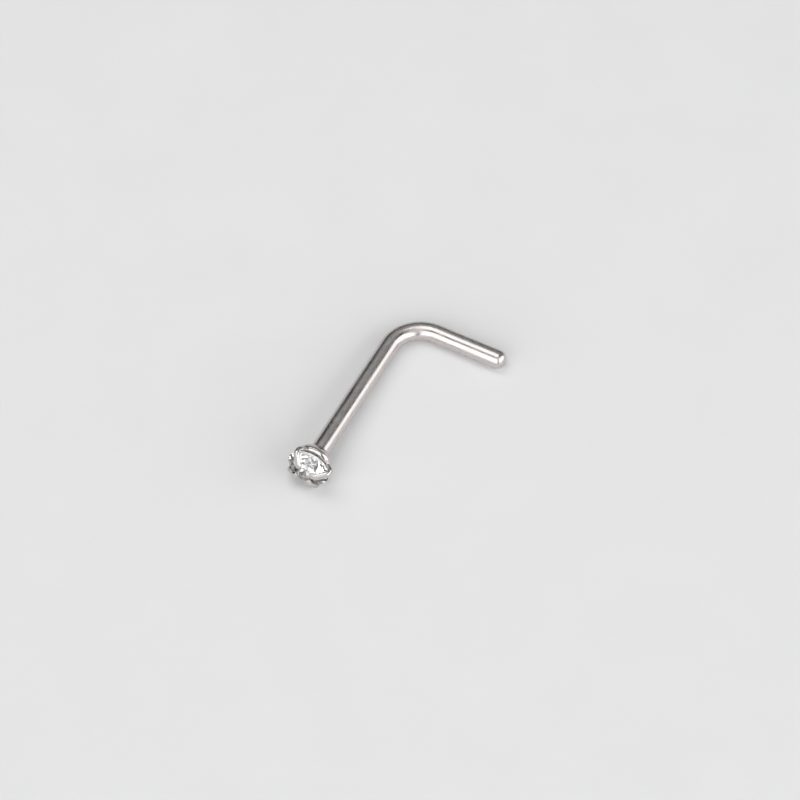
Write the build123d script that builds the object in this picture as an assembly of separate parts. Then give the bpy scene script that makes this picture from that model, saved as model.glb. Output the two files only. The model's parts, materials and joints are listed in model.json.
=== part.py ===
from build123d import *
import math
import os

# L-bend nose stud: a bent steel wire with a four-claw setting welded to one end, and a round
# brilliant stone in the claws. It lies as it would on a table: leg and lowest claw on z = 0.
# Millimetres and degrees. Heights in the setting are measured outwards along the post's axis,
# from the middle of the setting.

# Wire
wire_diameter = 0.8
post_length = 8.6  # leg axis to the middle of the setting
leg_length = 4.66  # post axis to the end of the dome
bend_radius = 1.5  # of the wire's centre line
dome_height = 0.36

# Round brilliant stone
stone_diameter = 1.88
girdle_height = 0.18
girdle_thickness = 0.06
girdle_trim = 0.985  # the girdle is ground just inside the facets' meeting points
table_ratio = 0.57
crown_angle = 34.5
pavilion_angle = 40.75
star_ratio = 0.5  # how far a star facet reaches from the table towards the girdle
lower_half_ratio = 0.77  # how far a lower girdle facet reaches towards the culet
facet_fold = 8

# Setting
stone_gap = 0.05
cup_lip = 0.12  # rounding of the cup's rim
wire_end_height = -0.75  # the wire ends inside the cup
claw_diameter = 0.27
claw_root_radius = 0.38
claw_root_height = -0.4
claw_hip_height = 0.06
claw_lift = 0.01  # of a claw's centre line over the seat
claw_inset = 0.025  # of a claw's upright centre line inside the girdle
claw_bend = 0.15
claw_tip_rounding = 0.06
claw_top = 0.172  # the claws are filed flat at this height over the crown and the table

# The cup's outline, from its root inside the wire to its rim
cup_columns = ("radius", "height")
cup_rows = [
    (0.30, -0.80),
    (0.62, -0.57),
    (0.76, -0.40),
    (0.81, -0.08),
]

# One row for each claw: its place round the setting and how near the axis its tip comes
claw_columns = ("angle", "tip_radius")
claw_rows = [
    (13, 0.28),
    (124, 0.40),
    (213, 0.34),
    (295, 0.30),
]

settling_steps = 5

wire_radius = wire_diameter / 2
stone_radius = stone_diameter / 2
claw_line_radius = stone_radius - claw_inset
girdle_top = girdle_height + girdle_thickness / 2
girdle_bottom = girdle_height - girdle_thickness / 2
table_radius = stone_radius * table_ratio
crown_slope = math.tan(math.radians(crown_angle))
pavilion_slope = math.tan(math.radians(pavilion_angle))
table_height = girdle_top + (stone_radius - table_radius) * crown_slope
culet_height = girdle_bottom - stone_radius * pavilion_slope


def polar(radius, angle, height):
    turn = math.radians(angle)
    return Vector(radius * math.cos(turn), radius * math.sin(turn), height)


def crown_height_at(radius):
    return girdle_top + (stone_radius - radius) * crown_slope


def pavilion_height_at(radius):
    return girdle_bottom - (stone_radius - radius) * pavilion_slope


def facet_points():
    """Three points of each facet but the table, all round the stone."""
    step = 360 / facet_fold
    half = step / 2
    flat = math.cos(math.radians(half))
    star_radius = table_radius * flat + star_ratio * (stone_radius - table_radius * flat)
    half_radius = (1 - lower_half_ratio) * stone_radius
    facets = []
    for n in range(facet_fold):
        main = n * step
        girdle = polar(stone_radius, main, girdle_top)
        belt = polar(stone_radius, main, girdle_bottom)
        star_tips = [polar(star_radius, main + side * half, crown_height_at(star_radius * flat))
                     for side in (-1, 1)]
        half_tips = [polar(half_radius, main + side * half, pavilion_height_at(half_radius * flat))
                     for side in (-1, 1)]
        table_corners = [polar(table_radius, main + turn, table_height) for turn in (0, step)]
        facets.append((girdle, star_tips[0], star_tips[1]))
        facets.append((star_tips[1], table_corners[0], table_corners[1]))
        facets.append((belt, half_tips[0], half_tips[1]))
        for side, star_tip, half_tip in zip((-1, 1), star_tips, half_tips):
            facets.append((star_tip, girdle, polar(stone_radius, main + side * half, girdle_top)))
            facets.append((half_tip, belt, polar(stone_radius, main + side * half, girdle_bottom)))
    return facets


def outward_plane(a, b, c):
    middle = Vector(0, 0, girdle_height)
    normal = (b - a).cross(c - a).normalized()
    if normal.dot(a - middle) < 0:
        normal = normal * -1
    return Plane(origin=a, x_dir=(b - a).normalized(), z_dir=normal)


def make_stone():
    height = table_height - culet_height
    stone = Pos(0, 0, culet_height + height / 2) * Cylinder(stone_radius * girdle_trim, height)
    for a, b, c in facet_points():
        stone = split(stone, bisect_by=outward_plane(a, b, c), keep=Keep.BOTTOM)
    return stone


def turned(corners):
    """A solid turned about the setting's axis from (radius, height) corners."""
    outline = Polyline(*[(radius, 0, height) for radius, height in corners], close=True)
    return revolve(make_face(outline), axis=Axis.Z)


def make_seat():
    """The room that the stone takes in the setting, with the gap all round it."""
    crown_lift = stone_gap / math.cos(math.radians(crown_angle))
    pavilion_drop = stone_gap / math.cos(math.radians(pavilion_angle))
    wall = stone_radius * girdle_trim + stone_gap
    top = table_height + stone_gap
    return turned([
        (0, pavilion_height_at(0) - pavilion_drop),
        (wall, pavilion_height_at(wall) - pavilion_drop),
        (wall, crown_height_at(wall) + crown_lift),
        (table_radius + (crown_lift - stone_gap) / crown_slope, top),
        (0, top),
    ])


def make_cup():
    root, rim = dict(zip(cup_columns, cup_rows[0])), dict(zip(cup_columns, cup_rows[-1]))
    cup = turned([(0, root["height"]), *cup_rows, (0, rim["height"])])
    rim_edge = cup.edges().filter_by(GeomType.CIRCLE).sort_by(Axis.Z)[-1]
    return fillet(rim_edge, cup_lip)


def make_claw(angle, tip_radius):
    """A round claw that rises from the cup, passes the girdle and bends over the crown."""
    lift = (stone_gap + claw_lift) / math.cos(math.radians(crown_angle))
    path = FilletPolyline(
        (claw_root_radius, 0, claw_root_height),
        (claw_line_radius, 0, claw_hip_height),
        (claw_line_radius, 0, crown_height_at(claw_line_radius) + lift),
        (table_radius, 0, table_height + lift),
        (tip_radius, 0, table_height + stone_gap + claw_lift),
        radius=claw_bend,
    )
    claw = sweep(Plane(origin=path @ 0, z_dir=path % 0) * Circle(claw_diameter / 2), path=path)
    tip = claw.edges().filter_by(GeomType.CIRCLE).sort_by(Axis.X)[0]
    claw = fillet(tip, claw_tip_rounding)
    for outward in (Vector(crown_slope, 0, 1).normalized(), Vector(0, 0, 1)):
        filed = Plane(Vector(table_radius, 0, table_height) + outward * claw_top, z_dir=outward)
        claw = split(claw, bisect_by=filed, keep=Keep.BOTTOM)
    return Rot(0, 0, angle) * claw


def make_setting():
    setting = make_cup()
    for row in claw_rows:
        claw = dict(zip(claw_columns, row))
        setting += make_claw(claw["angle"], claw["tip_radius"])
    return setting - make_seat()


def make_wire():
    """The bent wire in its own plane: leg along +X, post along -Y, their axes crossing at the origin."""
    post_end = post_length + wire_end_height
    path = FilletPolyline((0, -post_end, 0), (0, 0, 0), (leg_length, 0, 0), radius=bend_radius)
    wire = sweep(Plane(origin=path @ 0, z_dir=path % 0) * Circle(wire_radius), path=path)
    leg_end = wire.edges().sort_by(Axis.X)[-1]
    return fillet(leg_end, dome_height)


def resting_tilt(metal):
    """How far the post rises towards the setting when the leg and the lowest claw touch a table."""
    tilt = 0
    for _ in range(settling_steps):
        lowest = (Rot(-tilt, 0, 0) * metal).bounding_box().min.Z
        tilt -= math.degrees((lowest + wire_radius) / post_length)
    return tilt


def make_parts():
    head_place = Pos(0, -post_length, 0) * Rot(90, 0, 0)
    metal = make_wire() + head_place * make_setting()
    stone = head_place * make_stone()
    tilt = resting_tilt(metal)
    print("post rises", round(tilt, 3), "degrees towards the setting")
    lying = {"post_and_claws": Rot(-tilt, 0, 0) * metal, "stone": Rot(-tilt, 0, 0) * stone}
    middle = Compound(list(lying.values())).bounding_box().center()
    to_origin = Pos(-middle.X, -middle.Y, wire_radius)
    print("axes cross at", to_origin.position)
    return {name: to_origin * part for name, part in lying.items()}


if __name__ == "__main__":
    os.makedirs("parts", exist_ok=True)
    for name, part in make_parts().items():
        print(name, round(part.volume, 4), part.is_valid, len(part.solids()), part.bounding_box())
        export_step(part, f"parts/{name}.step")
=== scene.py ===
import json
import math
import bpy
from mathutils import Matrix, Vector


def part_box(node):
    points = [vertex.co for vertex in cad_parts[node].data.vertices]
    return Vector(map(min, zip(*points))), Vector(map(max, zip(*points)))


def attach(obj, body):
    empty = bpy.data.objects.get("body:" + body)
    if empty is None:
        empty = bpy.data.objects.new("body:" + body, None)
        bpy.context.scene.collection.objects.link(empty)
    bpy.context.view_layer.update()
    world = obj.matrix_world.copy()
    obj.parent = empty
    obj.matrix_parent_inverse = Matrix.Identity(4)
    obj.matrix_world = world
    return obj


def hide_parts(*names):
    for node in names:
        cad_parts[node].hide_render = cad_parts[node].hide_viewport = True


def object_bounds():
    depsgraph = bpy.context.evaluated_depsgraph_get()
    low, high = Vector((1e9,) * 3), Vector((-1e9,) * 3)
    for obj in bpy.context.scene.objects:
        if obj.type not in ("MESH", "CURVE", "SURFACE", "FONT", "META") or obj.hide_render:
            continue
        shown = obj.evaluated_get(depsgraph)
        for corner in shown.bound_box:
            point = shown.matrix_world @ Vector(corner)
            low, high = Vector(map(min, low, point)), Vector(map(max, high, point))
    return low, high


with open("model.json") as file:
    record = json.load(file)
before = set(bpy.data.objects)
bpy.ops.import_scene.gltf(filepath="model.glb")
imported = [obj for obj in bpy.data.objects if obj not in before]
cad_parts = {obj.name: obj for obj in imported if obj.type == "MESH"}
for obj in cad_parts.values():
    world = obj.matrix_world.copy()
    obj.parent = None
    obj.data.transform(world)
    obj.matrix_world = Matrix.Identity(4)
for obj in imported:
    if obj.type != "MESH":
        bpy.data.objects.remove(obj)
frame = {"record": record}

# A nose stud lying on a pale card: a steel wire bent at a right angle, domed at its free end,
# and a four-claw setting with a round brilliant stone at the other.
# Pieces are modelled in millimetres and then put in their place, in metres. Heights in the
# setting are measured outwards along the post's axis, from the middle of the setting.

cad_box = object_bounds()
mm = 0.001
mounts = {mount["name"]: mount for mount in frame["record"]["mounts"]}

# Wire
wire_radius = mounts["leg_end"]["dims"]["r_mm"]
post_length = 8.6  # leg axis to the middle of the setting
bend_radius = 1.5  # of the wire's centre line
dome_height = 0.36
wire_end_height = -0.75  # the wire ends inside the cup
wire_sides = 96
bend_steps = 64
dome_steps = 20
wire_crease = math.radians(30)  # sharper edges than this stay sharp

# Round brilliant stone
stone_radius = 0.94
girdle_height = 0.18
girdle_thickness = 0.06
girdle_trim = 0.985  # the girdle is ground just inside the facets' meeting points
table_ratio = 0.57
crown_slope = math.tan(math.radians(34.5))
pavilion_slope = math.tan(math.radians(40.75))
star_ratio = 0.5  # how far a star facet reaches from the table towards the girdle
lower_half_ratio = 0.77  # how far a lower girdle facet reaches towards the culet
facet_fold = 8
girdle_sides = 128
cut_slack = 0.00001  # a corner this near a facet's plane isn't cut again
same_facet = math.radians(0.3)  # faces that turn by less than this are one facet
zirconia_ior = 2.16
table_radius = stone_radius * table_ratio
girdle_top = girdle_height + girdle_thickness / 2
girdle_bottom = girdle_height - girdle_thickness / 2
table_height = girdle_top + (stone_radius - table_radius) * crown_slope
culet_height = girdle_bottom - stone_radius * pavilion_slope

# Setting
seat_gap = 0.02
cup_rings = [  # radius and height, from the root in the wire to the rim
    (0.34, -0.78),
    (0.46, -0.69),
    (0.58, -0.60),
    (0.68, -0.50),
    (0.75, -0.40),
    (0.80, -0.30),
    (0.83, -0.08),
]
cup_lip = 0.15
cup_lip_profile = 0.3  # nearly a straight bevel
cup_lip_steps = 10
claw_radius = 0.142
claw_sides = 48
claw_bend = 0.15
claw_bend_steps = 10
claw_lift = 0.07  # of a claw's centre line over the stone
claw_inset = 0.025  # of a claw's upright centre line inside the girdle
claw_line_radius = stone_radius - claw_inset
claw_root = (0.38, -0.40)  # radius and height
claw_hip_height = 0.06
claw_tip_rounding = 0.06
claw_tip_steps = 6
claw_filed = 0.04  # taken off the top of each claw, which leaves it flat
claw_rows = [  # place round the setting in degrees, and how near the axis the tip comes
    (13, 0.28),
    (124, 0.40),
    (213, 0.34),
    (295, 0.30),
]
cast_grain = 0.014  # the finest edge that the cast setting keeps
tumbling = {"factor": 0.5, "iterations": 6}  # how much the tumbling softens it

seam = 0.0005  # corners nearer than this are merged

# Card that it lies on, in metres
card_flat = 0.09
card_radius = 0.20
card_lift = 0.012
card_drop = 0.002 * mm  # how far it lies below the stud, so that no faces meet
card_sides = 128
card_steps = 12

# Where the wire's two axes cross, and how far the post rises to the setting
post_axis = Vector(mounts["piercing"]["axis"])
rise = math.atan2(-post_axis.z, post_axis.y)
corner = Vector(mounts["leg_end"]["pos_m"])
corner.x = mounts["piercing"]["pos_m"][0]
leg_length = (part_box("post_and_claws")[1].x - corner.x) / mm
wire_place = (Matrix.Translation(corner) @ Matrix.Rotation(-rise, 4, "X")
              @ Matrix.Scale(mm, 4))
setting_place = (wire_place @ Matrix.Translation((0, -post_length, 0))
                 @ Matrix.Rotation(math.radians(90), 4, "X"))


# ---------------------------------------------------------------- modelling

def pick(*pieces):
    """Selects these pieces and nothing else; the last is active."""
    bpy.ops.object.select_all(action="DESELECT")
    for piece in pieces:
        piece.select_set(True)
        bpy.context.view_layer.objects.active = piece


def close_edit(name):
    """Leaves edit mode and names the piece."""
    bpy.ops.object.mode_set(mode="OBJECT")
    piece = bpy.context.object
    piece.name = piece.data.name = name
    return piece


def draw_bar(corners, radius, bend, sides, steps):
    """A round bar drawn through the corners, left in edit mode with its end face selected."""
    bpy.ops.object.select_all(action="DESELECT")
    heading = (corners[1] - corners[0]).normalized()
    bpy.ops.mesh.primitive_circle_add(vertices=sides, radius=radius, fill_type="NGON",
                                      location=corners[0], enter_editmode=True,
                                      rotation=heading.to_track_quat("Z", "Y").to_euler())
    here = corners[0]
    for before, at, after in zip(corners, corners[1:], corners[2:]):
        heading, leaving = (at - before).normalized(), (after - at).normalized()
        turn = heading.angle(leaving)
        reach = bend * math.tan(turn / 2)
        hinge = heading.cross(leaving).normalized()
        start = at - heading * reach
        bpy.ops.mesh.extrude_region_move(TRANSFORM_OT_translate={"value": start - here})
        bpy.ops.mesh.spin(steps=steps, angle=-turn, axis=hinge,
                          center=start + hinge.cross(heading) * bend)
        here = at + leaving * reach
    bpy.ops.mesh.extrude_region_move(TRANSFORM_OT_translate={"value": corners[-1] - here})


def round_end(width, steps, profile=0.5):
    """Rounds the edge of the end face that is selected."""
    bpy.ops.mesh.region_to_loop()
    bpy.ops.mesh.bevel(offset=width, segments=steps, profile=profile, affect="EDGES")


def tidy_mesh():
    """In edit mode: closes seams and turns every face outwards."""
    bpy.ops.mesh.select_all(action="SELECT")
    bpy.ops.mesh.remove_doubles(threshold=seam)
    bpy.ops.mesh.normals_make_consistent(inside=False)
    bpy.ops.mesh.select_all(action="DESELECT")


def put_in_place(piece, place):
    """Moves the piece's mesh to its place and leaves its object at the origin."""
    pick(piece)
    piece.matrix_world = place @ piece.matrix_world
    bpy.ops.object.transform_apply(location=True, rotation=True, scale=True)


def apply_modifier(piece, kind, **settings):
    """Adds a modifier with these settings and applies it."""
    pick(piece)
    modifier = piece.modifiers.new(kind.title(), kind)
    for name, value in settings.items():
        setattr(modifier, name, value)
    bpy.ops.object.modifier_apply(modifier=modifier.name)


# ---------------------------------------------------------------- wire

def make_wire():
    """Post and leg in one plane: the leg along +X and the post along -Y."""
    post_end = post_length + wire_end_height
    draw_bar([Vector((0, -post_end, 0)), Vector((0, 0, 0)), Vector((leg_length, 0, 0))],
             wire_radius, bend_radius, wire_sides, bend_steps)
    round_end(dome_height, dome_steps)
    tidy_mesh()
    wire = close_edit("wire")
    pick(wire)
    bpy.ops.object.transform_apply(location=True, rotation=True, scale=True)
    unroll(wire)
    return wire


def unroll(wire):
    """A UV map in millimetres: across is round the wire and up is along it."""
    def along_and_round(p):
        if p.y < -bend_radius:
            return p.y + bend_radius, math.atan2(p.z, -p.x)
        if p.x > bend_radius:
            return bend_radius * math.pi / 2 + p.x - bend_radius, math.atan2(p.z, p.y)
        out = Vector((p.x - bend_radius, p.y + bend_radius))
        return (bend_radius * math.atan2(out.y, -out.x),
                math.atan2(p.z, out.length - bend_radius))

    mesh = wire.data
    layer = mesh.uv_layers.new(name="unrolled")
    for face in mesh.polygons:
        middle = along_and_round(face.center)[1]
        for loop in face.loop_indices:
            along, turn = along_and_round(mesh.vertices[mesh.loops[loop].vertex_index].co)
            turn += 2 * math.pi * round((middle - turn) / (2 * math.pi))
            layer.data[loop].uv = (turn * wire_radius, along)


# ---------------------------------------------------------------- stone

def polar(radius, degrees, height):
    """The point that far from the setting's axis, at that place round it and that height."""
    turn = math.radians(degrees)
    return Vector((radius * math.cos(turn), radius * math.sin(turn), height))


def facet_points():
    """Three points of each facet but the table, all round the stone."""
    step = 360 / facet_fold
    half = step / 2
    flat = math.cos(math.radians(half))
    star_radius = table_radius * flat + star_ratio * (stone_radius - table_radius * flat)
    star_height = girdle_top + (stone_radius - star_radius * flat) * crown_slope
    half_radius = (1 - lower_half_ratio) * stone_radius
    half_height = girdle_bottom - (stone_radius - half_radius * flat) * pavilion_slope
    for n in range(facet_fold):
        main = n * step
        top = polar(stone_radius, main, girdle_top)
        belt = polar(stone_radius, main, girdle_bottom)
        stars = [polar(star_radius, main + side * half, star_height) for side in (-1, 1)]
        halves = [polar(half_radius, main + side * half, half_height) for side in (-1, 1)]
        table = [polar(table_radius, main + turn, table_height) for turn in (0, step)]
        yield top, stars[0], stars[1]
        yield stars[1], table[0], table[1]
        yield belt, halves[0], halves[1]
        for side, star, lower in zip((-1, 1), stars, halves):
            yield star, top, polar(stone_radius, main + side * half, girdle_top)
            yield lower, belt, polar(stone_radius, main + side * half, girdle_bottom)


def cut_stone(name, gap=0.0):
    """A round blank that each facet is cut from. A gap makes it that much larger all round."""
    bpy.ops.object.select_all(action="DESELECT")
    height = table_height - culet_height + 2 * gap
    bpy.ops.mesh.primitive_cylinder_add(vertices=girdle_sides, depth=height,
                                        radius=stone_radius * girdle_trim + gap,
                                        location=(0, 0, (table_height + culet_height) / 2),
                                        enter_editmode=True)
    middle = Vector((0, 0, girdle_height))
    for a, b, c in facet_points():
        outward = (b - a).cross(c - a).normalized()
        if outward.dot(a - middle) < 0:
            outward.negate()
        bpy.ops.mesh.select_all(action="SELECT")
        bpy.ops.mesh.bisect(plane_co=a + outward * gap, plane_no=outward, use_fill=True,
                            clear_outer=True, threshold=cut_slack)
    bpy.ops.mesh.select_all(action="SELECT")
    bpy.ops.mesh.remove_doubles(threshold=seam)
    bpy.ops.mesh.dissolve_limited(angle_limit=same_facet)
    bpy.ops.mesh.select_all(action="DESELECT")
    return close_edit(name)


# ---------------------------------------------------------------- setting

def make_cup():
    """The turned cup, solid and round like a bowl, from its root in the wire up to its rim."""
    bpy.ops.object.select_all(action="DESELECT")
    bpy.ops.mesh.primitive_circle_add(vertices=wire_sides, radius=cup_rings[0][0],
                                      fill_type="NGON", location=(0, 0, cup_rings[0][1]),
                                      enter_editmode=True)
    for (radius, height), (next_radius, next_height) in zip(cup_rings, cup_rings[1:]):
        bpy.ops.mesh.extrude_region_move(
            TRANSFORM_OT_translate={"value": (0, 0, next_height - height)})
        bpy.ops.transform.resize(value=(next_radius / radius,) * 2 + (1,))
    round_end(cup_lip, cup_lip_steps, cup_lip_profile)
    tidy_mesh()
    return close_edit("cup")


def make_claw(degrees, tip_radius):
    """A round claw that leaves the cup, passes the girdle and bends over the crown."""
    crown_at_line = girdle_top + (stone_radius - claw_line_radius) * crown_slope
    lift = claw_lift / math.cos(math.atan(crown_slope))
    outline = [
        claw_root,
        (claw_line_radius, claw_hip_height),
        (claw_line_radius, crown_at_line + lift),
        (table_radius, table_height + lift),
        (tip_radius, table_height + claw_lift),
    ]
    draw_bar([polar(radius, degrees, height) for radius, height in outline],
             claw_radius, claw_bend, claw_sides, claw_bend_steps)
    round_end(claw_tip_rounding, claw_tip_steps)
    flat_height = claw_lift + claw_radius - claw_filed
    crown_out = polar(crown_slope, degrees, 1).normalized()
    table_edge = polar(table_radius, degrees, table_height)
    for outward in (crown_out, Vector((0, 0, 1))):
        bpy.ops.mesh.select_all(action="SELECT")
        bpy.ops.mesh.bisect(plane_co=table_edge + outward * flat_height, plane_no=outward,
                            use_fill=True, clear_outer=True)
    tidy_mesh()
    return close_edit("claw")


def make_setting():
    """Cup and claws cast in one and tumble polished, then cut to seat the stone."""
    setting = make_cup()
    for degrees, tip_radius in claw_rows:
        claw = make_claw(degrees, tip_radius)
        apply_modifier(setting, "BOOLEAN", object=claw, operation="UNION", solver="EXACT")
        bpy.data.objects.remove(claw)
    seat = cut_stone("seat", seat_gap)
    apply_modifier(setting, "BOOLEAN", object=seat, operation="DIFFERENCE", solver="EXACT")
    bpy.data.objects.remove(seat)
    setting.name = "setting"
    apply_modifier(setting, "REMESH", mode="VOXEL", voxel_size=cast_grain, adaptivity=0)
    apply_modifier(setting, "SMOOTH", **tumbling)
    return setting


# ---------------------------------------------------------------- materials

mix_first, mix_second, mix_result = 6, 7, 2  # the colour sockets of a Mix node


def linear(hex_colour):
    """sRGB hex to linear red, green, blue and 1."""
    def channel(value):
        return value / 12.92 if value <= 0.04045 else ((value + 0.055) / 1.055) ** 2.4
    return tuple(channel(int(hex_colour[n:n + 2], 16) / 255) for n in (0, 2, 4)) + (1.0,)


def add_node(tree, kind, links=None, **settings):
    """Adds a node. Settings name its properties or its sockets, and links its sockets."""
    node = tree.nodes.new(kind)
    for name, value in settings.items():
        if hasattr(node, name):
            setattr(node, name, value)
        else:
            node.inputs[name.replace("_", " ")].default_value = value
    for name, source in (links or {}).items():
        tree.links.new(source, node.inputs[name])
    return node


def new_material(name):
    """A new material, its node tree and its shader."""
    material = bpy.data.materials.new(name)
    material.use_nodes = True
    tree = material.node_tree
    return material, tree, tree.nodes["Principled BSDF"]


def drawn_steel():
    """316L steel wire, drawn and barrel polished to a soft shine: slightly warm, with a fine
    grain drawn out along it and cloudy bands of duller and brighter polish."""
    material, tree, steel = new_material("drawn_and_barrel_polished_316L_steel")
    steel.inputs["Metallic"].default_value = 1.0
    unrolled = add_node(tree, "ShaderNodeUVMap", uv_map="unrolled")
    # grain 0.045 mm wide and 0.35 mm long: real grain is finer, and is drawn this coarse to show
    drawn = add_node(tree, "ShaderNodeMapping", {"Vector": unrolled.outputs["UV"]},
                     Scale=(1 / 0.045, 1 / 0.35, 1))
    grain = add_node(tree, "ShaderNodeTexNoise", {"Vector": drawn.outputs["Vector"]},
                     Scale=1.0, Detail=4.0, Roughness=0.6)
    # die lines 0.09 mm apart that run for 6 mm, also coarser than real ones
    lined = add_node(tree, "ShaderNodeMapping", {"Vector": unrolled.outputs["UV"]},
                     Scale=(1 / 0.09, 1 / 6.0, 1))
    lines = add_node(tree, "ShaderNodeTexNoise", {"Vector": lined.outputs["Vector"]},
                     Scale=1.0, Detail=2.0)
    # cloudy bands of polish, 0.4 mm round and 0.9 mm along
    clouded = add_node(tree, "ShaderNodeMapping", {"Vector": unrolled.outputs["UV"]},
                       Scale=(1 / 0.4, 1 / 0.9, 1))
    clouds = add_node(tree, "ShaderNodeTexNoise", {"Vector": clouded.outputs["Vector"]},
                      Scale=1.0, Detail=2.0)
    tone = add_node(tree, "ShaderNodeMix", {"Factor": grain.outputs["Fac"]}, data_type="RGBA")
    tone.inputs[mix_first].default_value = linear("C0BAB8")
    tone.inputs[mix_second].default_value = linear("DDD8D5")
    tree.links.new(tone.outputs[mix_result], steel.inputs["Base Color"])
    mixed = add_node(tree, "ShaderNodeMath", {0: grain.outputs["Fac"], 1: clouds.outputs["Fac"]},
                     operation="ADD")
    polish = add_node(tree, "ShaderNodeMapRange", {"Value": mixed.outputs["Value"]},
                      From_Min=0.7, From_Max=1.3, To_Min=0.20, To_Max=0.34)
    tree.links.new(polish.outputs["Result"], steel.inputs["Roughness"])
    relief = add_node(tree, "ShaderNodeMath", {0: grain.outputs["Fac"], 1: lines.outputs["Fac"]},
                      operation="ADD")
    ridges = add_node(tree, "ShaderNodeBump", {"Height": relief.outputs["Value"]},
                      Strength=0.28, Distance=0.004 * mm)
    tree.links.new(ridges.outputs["Normal"], steel.inputs["Normal"])
    return material


def cast_steel():
    """316L steel, investment cast and tumble polished: bright, with soft hollows and duller
    where the tumbling didn't reach."""
    material, tree, steel = new_material("cast_and_tumbled_316L_steel")
    steel.inputs["Metallic"].default_value = 1.0
    place = add_node(tree, "ShaderNodeTexCoord")
    # soft hollows 0.15 mm across
    hollows = add_node(tree, "ShaderNodeTexNoise", {"Vector": place.outputs["Object"]},
                       Scale=1 / (0.15 * mm), Detail=3.0)
    tone = add_node(tree, "ShaderNodeMix", {"Factor": hollows.outputs["Fac"]}, data_type="RGBA")
    tone.inputs[mix_first].default_value = linear("C6C1BF")
    tone.inputs[mix_second].default_value = linear("DAD6D3")
    tree.links.new(tone.outputs[mix_result], steel.inputs["Base Color"])
    polish = add_node(tree, "ShaderNodeMapRange", {"Value": hollows.outputs["Fac"]},
                      From_Min=0.3, From_Max=0.7, To_Min=0.13, To_Max=0.26)
    tree.links.new(polish.outputs["Result"], steel.inputs["Roughness"])
    dents = add_node(tree, "ShaderNodeBump", {"Height": hollows.outputs["Fac"]},
                     Strength=0.3, Distance=0.01 * mm)
    tree.links.new(dents.outputs["Normal"], steel.inputs["Normal"])
    return material


def polished_zirconia():
    """Cubic zirconia, facet cut and polished: clear, colourless, and it turns light back out
    of the crown in hard bright and dark patches."""
    material, tree, stone = new_material("polished_cubic_zirconia")
    stone.inputs["Base Color"].default_value = linear("FDFDFF")
    stone.inputs["Roughness"].default_value = 0.0
    stone.inputs["IOR"].default_value = zirconia_ior
    stone.inputs["Transmission Weight"].default_value = 1.0
    return material


def ground_zirconia():
    """The stone's girdle, ground and left matt: a fine pale line round it."""
    material, tree, stone = new_material("ground_cubic_zirconia")
    stone.inputs["Base Color"].default_value = linear("F4F4F6")
    stone.inputs["Roughness"].default_value = 0.35
    stone.inputs["IOR"].default_value = zirconia_ior
    stone.inputs["Transmission Weight"].default_value = 0.3
    return material


def pale_card():
    """Matt white card, laid flat: even, with the faintest mottle."""
    material, tree, card = new_material("matt_white_card")
    place = add_node(tree, "ShaderNodeTexCoord")
    mottle = add_node(tree, "ShaderNodeTexNoise", {"Vector": place.outputs["Object"]},
                      Scale=1 / (4 * mm), Detail=2.0)
    tone = add_node(tree, "ShaderNodeMix", {"Factor": mottle.outputs["Fac"]}, data_type="RGBA")
    tone.inputs[mix_first].default_value = linear("E3E3E4")
    tone.inputs[mix_second].default_value = linear("E7E7E8")
    tree.links.new(tone.outputs[mix_result], card.inputs["Base Color"])
    card.inputs["Roughness"].default_value = 0.75
    return material


# ---------------------------------------------------------------- pieces

wire = make_wire()
put_in_place(wire, wire_place)
wire.data.materials.append(drawn_steel())
pick(wire)
bpy.ops.object.shade_smooth_by_angle(angle=wire_crease)

setting = make_setting()
put_in_place(setting, setting_place)
setting.data.materials.append(cast_steel())
pick(setting)
bpy.ops.object.shade_smooth()

stone = cut_stone("brilliant")
for material in (polished_zirconia(), ground_zirconia()):
    stone.data.materials.append(material)
for face in stone.data.polygons:
    upright = abs(face.normal.z) < 0.01  # only the girdle's faces are
    face.material_index = 1 if upright else 0
put_in_place(stone, setting_place)
pick(stone)
bpy.ops.object.shade_flat()

for piece in (wire, setting):
    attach(piece, "root")
    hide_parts("post_and_claws")
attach(stone, "root")
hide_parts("stone")


# ---------------------------------------------------------------- stage, light and camera

def make_floor():
    """A round sheet of card, flat under the stud and lifted a little all round, so that it has
    no edge from a low camera."""
    bpy.ops.object.select_all(action="DESELECT")
    bpy.ops.mesh.primitive_circle_add(vertices=card_sides, radius=card_flat, fill_type="NGON",
                                      location=(0, 0, -card_drop), enter_editmode=True)
    bpy.ops.mesh.region_to_loop()
    before, height = card_flat, 0.0
    for step in range(1, card_steps + 1):
        reach = step / card_steps
        radius = card_flat + (card_radius - card_flat) * reach
        bpy.ops.mesh.extrude_edges_move(
            TRANSFORM_OT_translate={"value": (0, 0, card_lift * reach ** 2 - height)})
        bpy.ops.transform.resize(value=(radius / before, radius / before, 1))
        before, height = radius, card_lift * reach ** 2
    bpy.ops.mesh.select_all(action="SELECT")
    bpy.ops.mesh.normals_make_consistent(inside=True)
    floor = close_edit("floor")
    bpy.ops.object.transform_apply(location=True, rotation=True, scale=True)
    return floor


floor = make_floor()
floor.data.materials.append(pale_card())
pick(floor)
bpy.ops.object.shade_smooth()


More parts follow.
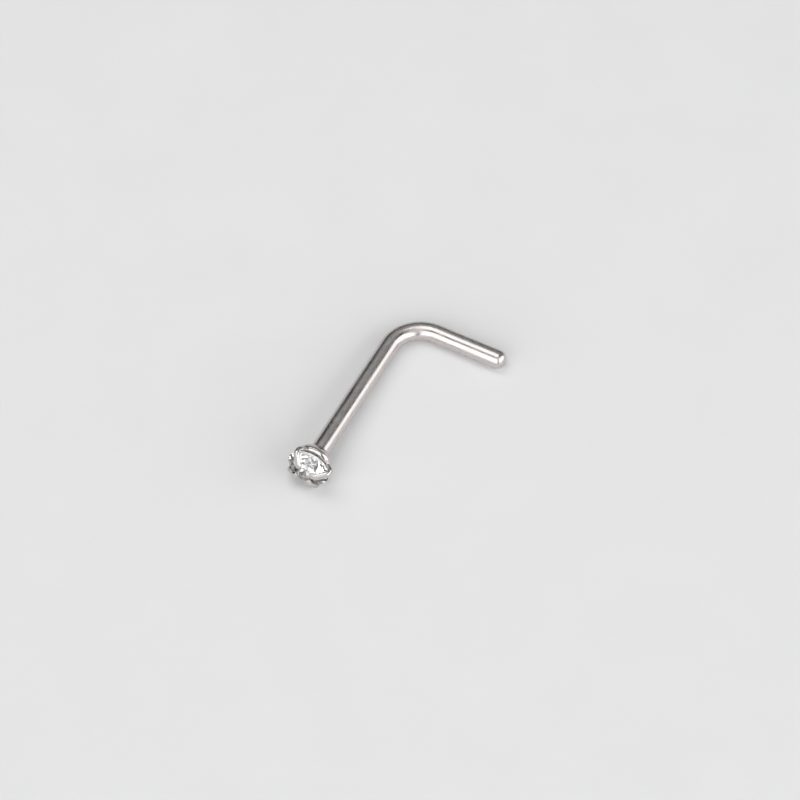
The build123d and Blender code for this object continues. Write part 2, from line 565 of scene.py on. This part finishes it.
# Soft boxes: name, place, the point that each faces, width and height in metres, brightness
soft_boxes = [
    ("soft_box_over", (-0.1825, 0.0425, 0.35), (-0.1825, 0.0425, 0), 0.475, 0.255, 1.8),
    ("soft_box_front", (-0.075, -0.40, 0.32), (-0.075, 0, 0.32), 0.69, 0.60, 1.9),
    ("soft_box_right", (0.35, -0.06, 0.188), (0, -0.06, 0.188), 0.44, 0.36, 2.3),
    ("soft_box_far_right", (0.35, 0.285, 0.163), (0, 0.285, 0.163), 0.25, 0.31, 1.7),
    ("soft_box_fill", (0.157, -0.10, 0.35), (0.157, -0.10, 0), 0.205, 0.32, 0.65),
    ("soft_box_back", (-0.04, 0.42, 0.36), (-0.04, 0.10, 0), 0.64, 0.40, 0.24),
]


def hang_soft_box(name, place, target, width, height, brightness):
    """An evenly lit soft box that the camera doesn't see."""
    light = bpy.data.lights.new(name, "AREA")
    light.shape = "RECTANGLE"
    light.size, light.size_y = width, height
    light.energy = brightness * math.pi * width * height
    box = bpy.data.objects.new(name, light)
    bpy.context.scene.collection.objects.link(box)
    box.location = place
    box.rotation_euler = (Vector(target) - Vector(place)).to_track_quat("-Z", "Y").to_euler()
    box.visible_camera = False


for row in soft_boxes:
    hang_soft_box(*row)


def paint_room(room_grey, backdrop_grey):
    """A dim room round the soft boxes. Past the card the camera sees a paler backdrop."""
    world = bpy.data.worlds.new("studio")
    bpy.context.scene.world = world
    world.use_nodes = True
    tree = world.node_tree
    ray = add_node(tree, "ShaderNodeLightPath")
    shade = add_node(tree, "ShaderNodeMix", {"Factor": ray.outputs["Is Camera Ray"]},
                     data_type="RGBA")
    shade.inputs[mix_first].default_value = (room_grey,) * 3 + (1,)
    shade.inputs[mix_second].default_value = (backdrop_grey,) * 3 + (1,)
    tree.links.new(shade.outputs[mix_result], tree.nodes["Background"].inputs["Color"])


paint_room(0.06, 0.6)
bpy.context.scene.view_settings.view_transform = "Standard"

# Camera: where it stands from the stud, and how much it takes in
azimuth, elevation = math.radians(27), math.radians(55)
view_width = 33.06 * mm
lens = 300
aim_right, aim_up = 0.124 * mm, 0.32 * mm  # of the middle of the stud's box
nearest, farthest = 0.01, 10


def make_camera():
    """A camera with a long lens, a little way off the stud's middle."""
    back = Vector((math.sin(azimuth) * math.cos(elevation),
                   -math.cos(azimuth) * math.cos(elevation), math.sin(elevation)))
    right = Vector((math.cos(azimuth), math.sin(azimuth), 0))
    middle = (cad_box[0] + cad_box[1]) / 2
    aim = middle + right * aim_right + back.cross(right) * aim_up
    camera_data = bpy.data.cameras.new("camera")
    camera_data.lens = lens
    camera_data.clip_start, camera_data.clip_end = nearest, farthest
    camera = bpy.data.objects.new("camera", camera_data)
    bpy.context.scene.collection.objects.link(camera)
    camera.location = aim + back * view_width * lens / camera_data.sensor_width
    camera.rotation_euler = (-back).to_track_quat("-Z", "Y").to_euler()
    return camera


bpy.context.scene.camera = make_camera()
